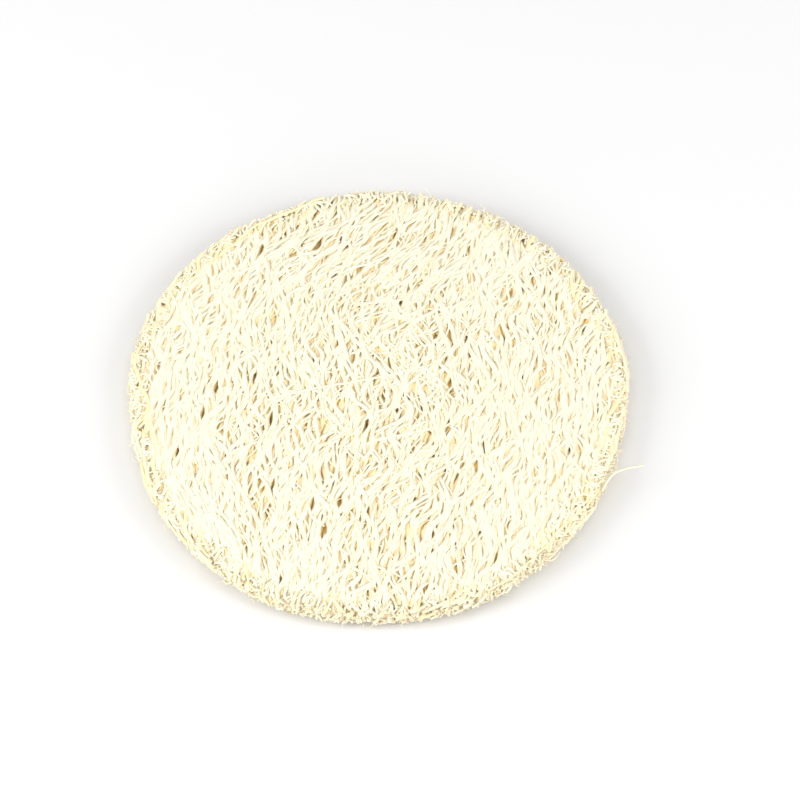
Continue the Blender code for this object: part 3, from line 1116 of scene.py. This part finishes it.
def make_crossings(side, group, count):
    """Single strands at a slant over one face."""
    sways, draw = drawn(group)
    layer = Layer(
        side, half_width=0.00023, half_thickness=0.00014, drifts=((sways.own, 0.35, False),),
        weave=sways.weave, step=0.0006, depth=0.00002, unevenness=0.00010, taper=0.0010,
        dive=0.0003, end_girth=0.6, bow=0.1, girths=(0.6, 1.35), wander=0.0003,
    )
    lines = Strands()
    turns = (math.radians(15), math.radians(60))
    lay_crossings(lines, draw, layer, count, lengths=(0.0020, 0.0060), turns=turns, reach=0.97)
    if side == "upper":
        lay_fans(lines, draw, layer, lengths=(0.0020, 0.0055))
    sweep(side + "_crossing_strands", lines, layer, face_material(), group)


class LOOFAH_OT_crossings(bpy.types.Operator):
    """Lay the slanting strands that cross over the others on both faces"""

    bl_idname = "loofah.crossings"
    bl_label = "Crossing strands"

    def execute(self, context):
        make_crossings("upper", UPPER_CROSSINGS, count=320)
        make_crossings("under", UNDER_CROSSINGS, count=160)
        return {"FINISHED"}


class LOOFAH_OT_hairs(bpy.types.Operator):
    """Add the thin hairs of the upper face and the rim, one long strand and one loose strand"""

    bl_idname = "loofah.hairs"
    bl_label = "Loose hairs"

    def execute(self, context):
        sways, draw = drawn(HAIRS)
        lines = Strands()
        layer = Layer(
            "upper", half_width=0.00009, half_thickness=0.00007, drifts=((sways.own, 0.3, False),),
            weave=sways.weave, step=0.0005, depth=0.00005, unevenness=0.0001, loose=0.0004,
            taper=0.0012, dive=-0.0002, bow=0.1, sides=4, wander=0.0004,
        )
        turns = (math.radians(5), math.radians(80))
        lay_crossings(
            lines, draw, layer, count=120, lengths=(0.0015, 0.0055), turns=turns, reach=0.97,
        )
        layer.bow = 0.2
        layer.spread = math.radians(40)
        lay_stubs(
            lines, draw, layer, count=170, lengths=(0.001, 0.003), tips=(0.0000, 0.0011),
            levels=(0.1, 1.0),
        )
        lay_curve(lines, LONG_STRAND, sizes=(3.4, 2.6), points=40)
        lay_curve(lines, LOOSE_STRAND, sizes=(2.6, 2.0), points=14)
        sweep("loose_hairs", lines, layer, face_material(), HAIRS)
        return {"FINISHED"}


class LOOFAH_OT_stage(bpy.types.Operator):
    """Set the pad on a pale table, with soft light from all round and a camera over it"""

    bl_idname = "loofah.stage"
    bl_label = "Stage"

    def execute(self, context):
        stage = context.scene.loofah_stage
        self.add_table(stage)
        self.add_light(context.scene, stage)
        self.add_camera(context.scene, stage)
        return {"FINISHED"}

    def add_table(self, stage):
        half = TABLE_HALF
        corners = ((-half, -half, 0), (half, -half, 0), (half, half, 0), (-half, half, 0))
        mesh = bpy.data.meshes.new("table")
        mesh.from_pydata(corners, [], [(0, 1, 2, 3)])
        mesh.materials.append(self.table_material(stage))
        table = linked("table", mesh)

    def add_light(self, scene, stage):
        world = bpy.data.worlds.new("studio")
        world.use_nodes = True
        surround = world.node_tree.nodes["Background"]
        surround.inputs["Color"].default_value = (1, 1, 1, 1)
        surround.inputs["Strength"].default_value = stage.surround
        scene.world = world
        for name, place, size, power, share in SOFTBOXES:
            data = bpy.data.lights.new(name, "AREA")
            data.shape = "RECTANGLE"
            data.size, data.size_y = size
            data.energy = share * getattr(stage, power)
            light = linked(name, data)
            light.location = place
            self.aim(light, (0, 0, 0))

    def add_camera(self, scene, stage):
        camera = linked("camera", bpy.data.cameras.new("camera"))
        camera.data.lens = CAMERA_LENS_MM
        camera.data.sensor_width = CAMERA_SENSOR_MM
        away = Vector((0, -math.cos(stage.elevation), math.sin(stage.elevation)))
        camera.location = Vector(LOOK_AT) + stage.distance * away
        self.aim(camera, LOOK_AT)
        scene.camera = camera
        scene.view_settings.view_transform = "Standard"

    def aim(self, ob, target):
        ob.rotation_euler = (Vector(target) - ob.location).to_track_quat("-Z", "Y").to_euler()

    def table_material(self, stage):
        material = bpy.data.materials.new("white_table")
        material.use_nodes = True
        shader = material.node_tree.nodes["Principled BSDF"]
        shader.inputs["Base Color"].default_value = (*stage.table, 1)
        shader.inputs["Roughness"].default_value = TABLE_ROUGHNESS
        shader.inputs["Specular IOR Level"].default_value = TABLE_GLOSS
        return material


PIECES = (
    LOOFAH_OT_upper_face,
    LOOFAH_OT_under_face,
    LOOFAH_OT_inner_mat,
    LOOFAH_OT_rim,
    LOOFAH_OT_crossings,
    LOOFAH_OT_hairs,
    LOOFAH_OT_stage,
)


class LOOFAH_PT_panel(bpy.types.Panel):
    """Lists the pieces of the pad and what can be changed"""

    bl_label = "Loofah pad"
    bl_idname = "LOOFAH_PT_panel"
    bl_space_type = "VIEW_3D"
    bl_region_type = "UI"
    bl_category = "Loofah"

    def draw(self, context):
        for label, _ in GROUPS:
            group = getattr(context.scene, label)
            box = self.layout.box()
            for name in group.bl_rna.properties.keys():
                if name not in ("rna_type", "name"):
                    box.prop(group, name)
        for piece in PIECES:
            self.layout.operator(piece.bl_idname)


GROUPS = (
    ("loofah_strands", LoofahStrands),
    ("loofah_finish", LoofahFinish),
    ("loofah_stage", LoofahStage),
)


def register():
    for name, group in GROUPS:
        bpy.utils.register_class(group)
        setattr(bpy.types.Scene, name, PointerProperty(type=group))
    for piece in (*PIECES, LOOFAH_PT_panel):
        bpy.utils.register_class(piece)


def unregister():
    for piece in reversed((*PIECES, LOOFAH_PT_panel)):
        bpy.utils.unregister_class(piece)
    for name, group in reversed(GROUPS):
        delattr(bpy.types.Scene, name)
        bpy.utils.unregister_class(group)


def main():
    register()
    for piece in PIECES:
        family, name = piece.bl_idname.split(".")
        if getattr(getattr(bpy.ops, family), name)() != {"FINISHED"}:
            raise RuntimeError(f"{piece.bl_idname} didn't finish")


if __name__ == "__main__":
    main()
